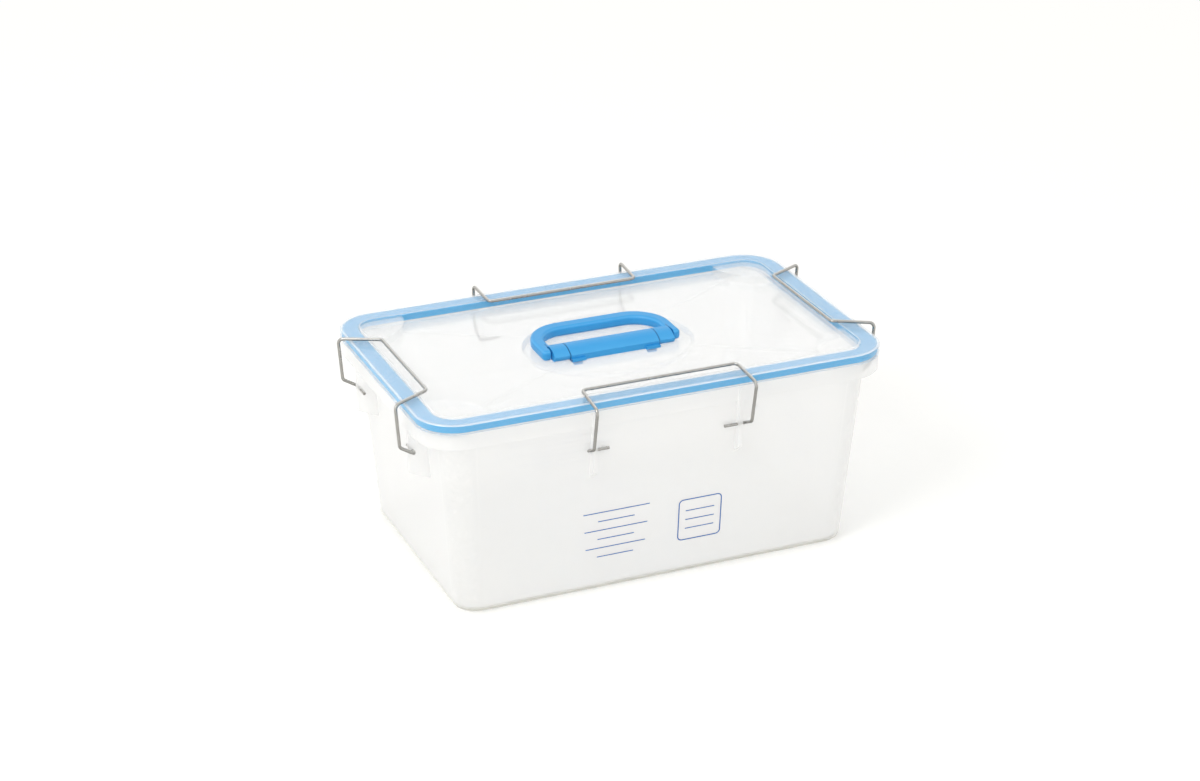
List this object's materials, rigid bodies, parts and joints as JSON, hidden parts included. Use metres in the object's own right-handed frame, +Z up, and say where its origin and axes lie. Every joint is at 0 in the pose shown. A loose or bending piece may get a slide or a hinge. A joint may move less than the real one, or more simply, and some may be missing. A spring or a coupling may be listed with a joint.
{
  "type": "specimen transport box",
  "caption": "Leakproof clear tub with a sealed recessed lid, wire bails on every side that swing over the rim, and a folding carry handle.",
  "frame": {"origin": "on the floor, under the middle of the tub and the lid", "axes": "+Z up, +X along the box's length, +Y towards the back; the grip folds towards +Y"},
  "size_m": [0.5608, 0.3647, 0.2402],
  "materials": {
    "clear_tub": "frosted translucent polypropylene, satin outside",
    "clear_lid": "clear polypropylene, glossy",
    "blue_seal": "soft blue elastomer, satin",
    "blue_handle": "moulded blue polypropylene, satin",
    "bail_wire": "drawn stainless spring wire",
    "pin_steel": "ground steel"
  },
  "bodies": {
    "tub": {"tub": "clear_tub"},
    "lid": {"lid": "clear_lid", "lid_seal": "blue_seal", "handle_base": "blue_handle", "handle_hinge_pin": "pin_steel"},
    "grip": {"handle_grip": "blue_handle"},
    "front_bail": {"bail_front": "bail_wire"},
    "back_bail": {"bail_back": "bail_wire"},
    "left_bail": {"bail_left": "bail_wire"},
    "right_bail": {"bail_right": "bail_wire"}
  },
  "joints": [
    {"name": "lid_lift", "type": "slide", "parent": "tub", "child": "lid", "axis": [0, 0, 1], "range_m": [0, 0.016]},
    {"name": "grip_fold", "type": "hinge", "parent": "lid", "child": "grip", "pos_m": [0, -0.0152, 0.2233], "axis": [1, 0, 0], "range_deg": [0, 90]},
    {"name": "front_bail_swing", "type": "hinge", "parent": "tub", "child": "front_bail", "pos_m": [0, -0.1588, 0.177], "axis": [1, 0, 0], "range_deg": [0, 124]},
    {"name": "back_bail_swing", "type": "hinge", "parent": "tub", "child": "back_bail", "pos_m": [0, 0.1588, 0.177], "axis": [-1, 0, 0], "range_deg": [0, 132]},
    {"name": "left_bail_swing", "type": "hinge", "parent": "tub", "child": "left_bail", "pos_m": [-0.2589, 0, 0.177], "axis": [0, -1, 0], "range_deg": [0, 170]},
    {"name": "right_bail_swing", "type": "hinge", "parent": "tub", "child": "right_bail", "pos_m": [0.2589, 0, 0.177], "axis": [0, 1, 0], "range_deg": [0, 170]}
  ],
  "couplings": [
    {"joint": "front_bail_swing", "follows": "lid_lift", "rad_per_m": 135.25},
    {"joint": "back_bail_swing", "follows": "lid_lift", "rad_per_m": 143.97},
    {"joint": "left_bail_swing", "follows": "lid_lift", "rad_per_m": 185.44},
    {"joint": "right_bail_swing", "follows": "lid_lift", "rad_per_m": 185.44}
  ]
}
